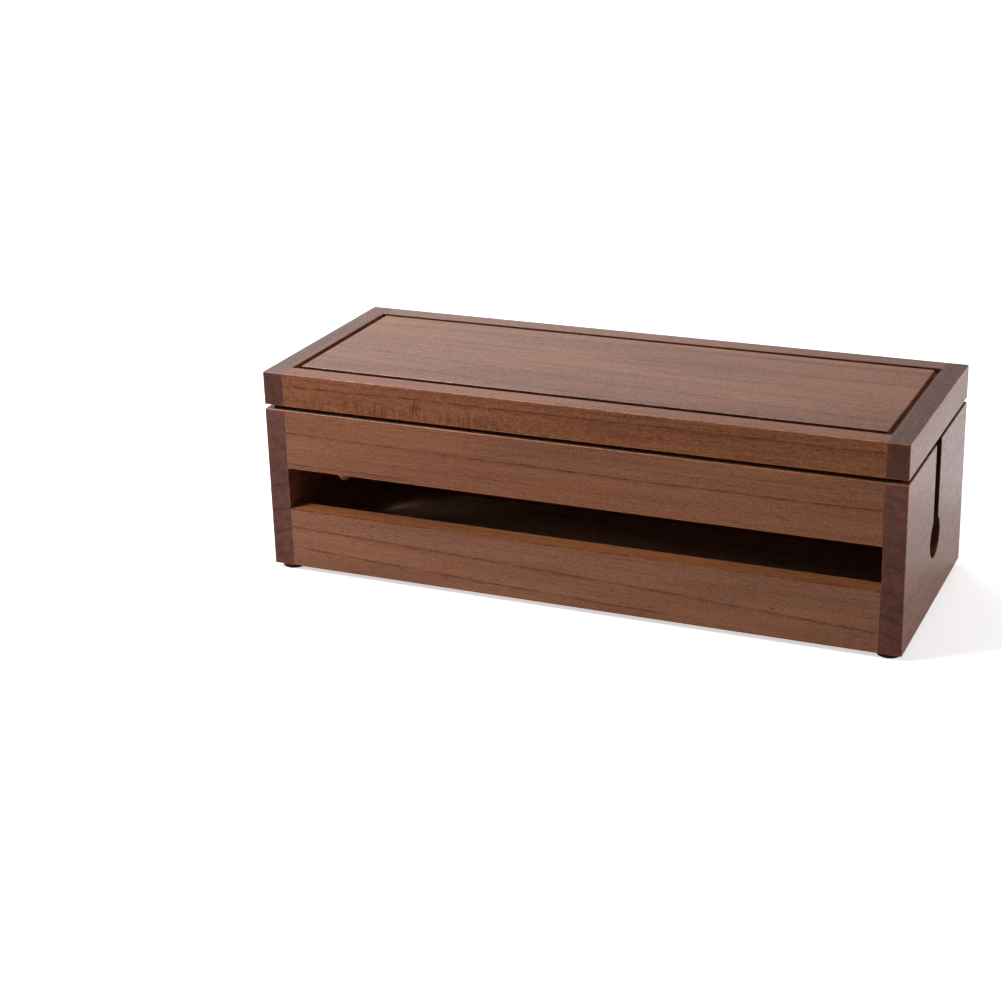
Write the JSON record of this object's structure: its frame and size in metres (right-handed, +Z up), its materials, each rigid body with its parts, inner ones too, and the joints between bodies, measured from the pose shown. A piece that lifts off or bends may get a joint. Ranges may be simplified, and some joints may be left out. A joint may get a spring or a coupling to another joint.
{
  "type": "cable management box",
  "caption": "Wooden case for a power strip, with a long front slot, a keyhole cable outlet in each end, rubber feet and a framed lid that lifts off.",
  "frame": {"origin": "under the middle of the case, level with the undersides of the feet", "axes": "+X along the length towards the right end board, +Y from the slotted front to the closed back, +Z up"},
  "size_m": [0.377, 0.143, 0.122],
  "materials": {
    "walnut_rail": "walnut stain under satin varnish, grain along the length",
    "walnut_end": "walnut stain under satin varnish, grain from front to back, darker end grain at the front",
    "walnut_panel": "walnut stain under satin varnish with a soft sheen",
    "floor_board": "thin stained plywood, unvarnished",
    "dowel_beech": "bare beech",
    "foot_rubber": "matt black rubber",
    "screw_steel": "zinc-plated steel"
  },
  "bodies": {
    "box": {"left_end_board": "walnut_end", "right_end_board": "walnut_end", "front_lower_rail": "walnut_rail", "front_upper_rail": "walnut_rail", "back_board": "walnut_rail", "floor_panel": "floor_board", "floor_screws": "screw_steel", "box_dowels": "dowel_beech", "foot_front_left": "foot_rubber", "foot_front_right": "foot_rubber", "foot_back_left": "foot_rubber", "foot_back_right": "foot_rubber"},
    "lid": {"lid_left_rail": "walnut_end", "lid_right_rail": "walnut_end", "lid_front_rail": "walnut_rail", "lid_back_rail": "walnut_rail", "lid_panel": "walnut_panel", "lid_dowels": "dowel_beech"}
  },
  "joints": [
    {"name": "lid_lift", "type": "slide", "parent": "box", "child": "lid", "axis": [0, 0, 1], "range_m": [0, 0.1]}
  ]
}
